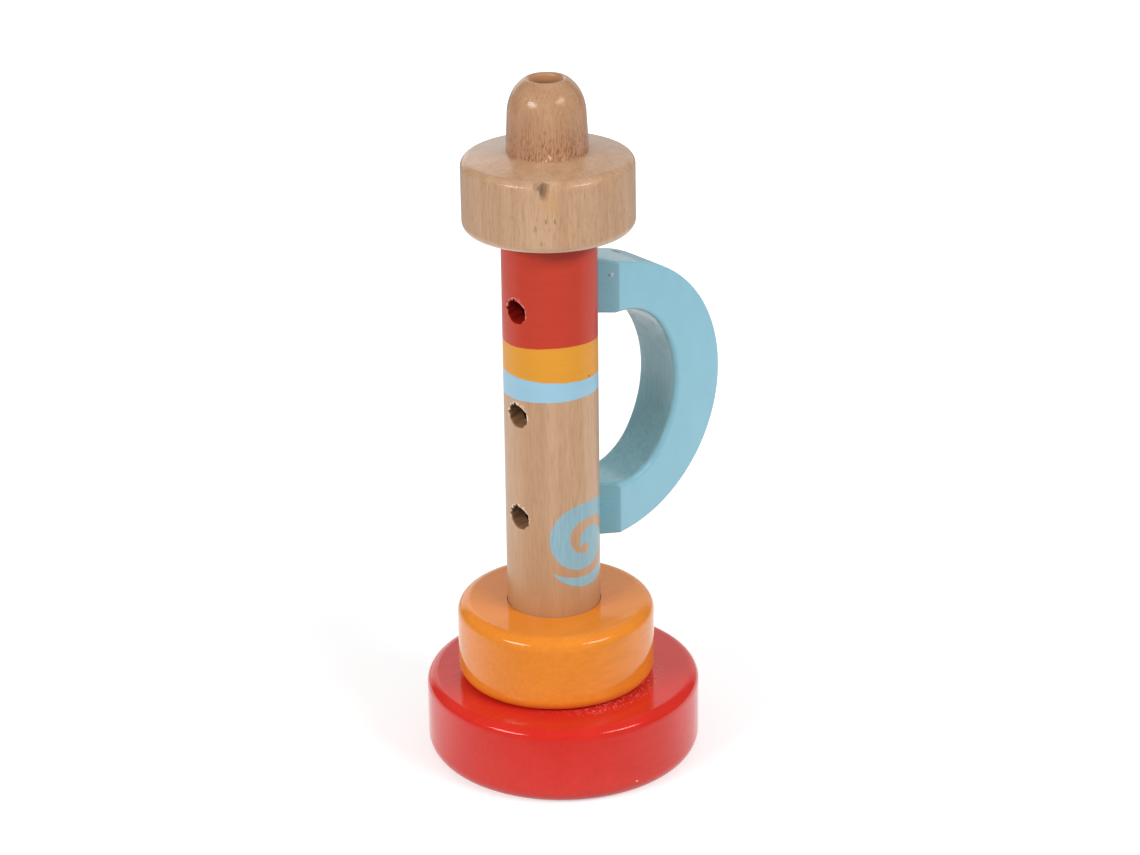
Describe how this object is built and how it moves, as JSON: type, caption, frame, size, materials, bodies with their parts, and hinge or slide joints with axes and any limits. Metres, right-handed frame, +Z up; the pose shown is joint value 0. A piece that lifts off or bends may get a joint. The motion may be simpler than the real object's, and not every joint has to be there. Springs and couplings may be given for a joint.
{
  "type": "toy trumpet",
  "caption": "Wooden toy trumpet standing on its ring-shaped bell, with a domed mouthpiece, finger holes and a D-shaped side handle.",
  "frame": {"origin": "on the tube's axis, in the plane of the flat rim that the bell stands on", "axes": "+Z up along the tube towards the mouthpiece, +X towards the handle"},
  "size_m": [0.0887, 0.0734, 0.1899],
  "materials": {
    "tube_wood": "clear lacquer, painted bands at the top",
    "clear_wood": "clear lacquer",
    "orange_lacquer": "orange gloss lacquer on wood",
    "red_lacquer": "red gloss lacquer on wood",
    "blue_lacquer": "light blue lacquer on wood",
    "bare_wood": "bare turned wood",
    "brass_sheet": "rolled sheet",
    "cork": "cut cork"
  },
  "bodies": {
    "trumpet": {"tube": "tube_wood", "mouthpiece": "clear_wood", "orange_ring": "orange_lacquer", "red_bell_ring": "red_lacquer", "handle": "blue_lacquer", "handle_dowels": "bare_wood", "reed_plug": "bare_wood", "reed_trough": "brass_sheet", "reed_wedge": "cork"},
    "reed": {"reed_tongue": "brass_sheet"}
  },
  "joints": [
    {"name": "reed_bend", "type": "hinge", "parent": "trumpet", "child": "reed", "pos_m": [0.0003, 0, 0.1709], "axis": [0, 1, 0], "range_deg": [-3, 3], "stiffness_Nm_per_rad": 0.002}
  ]
}
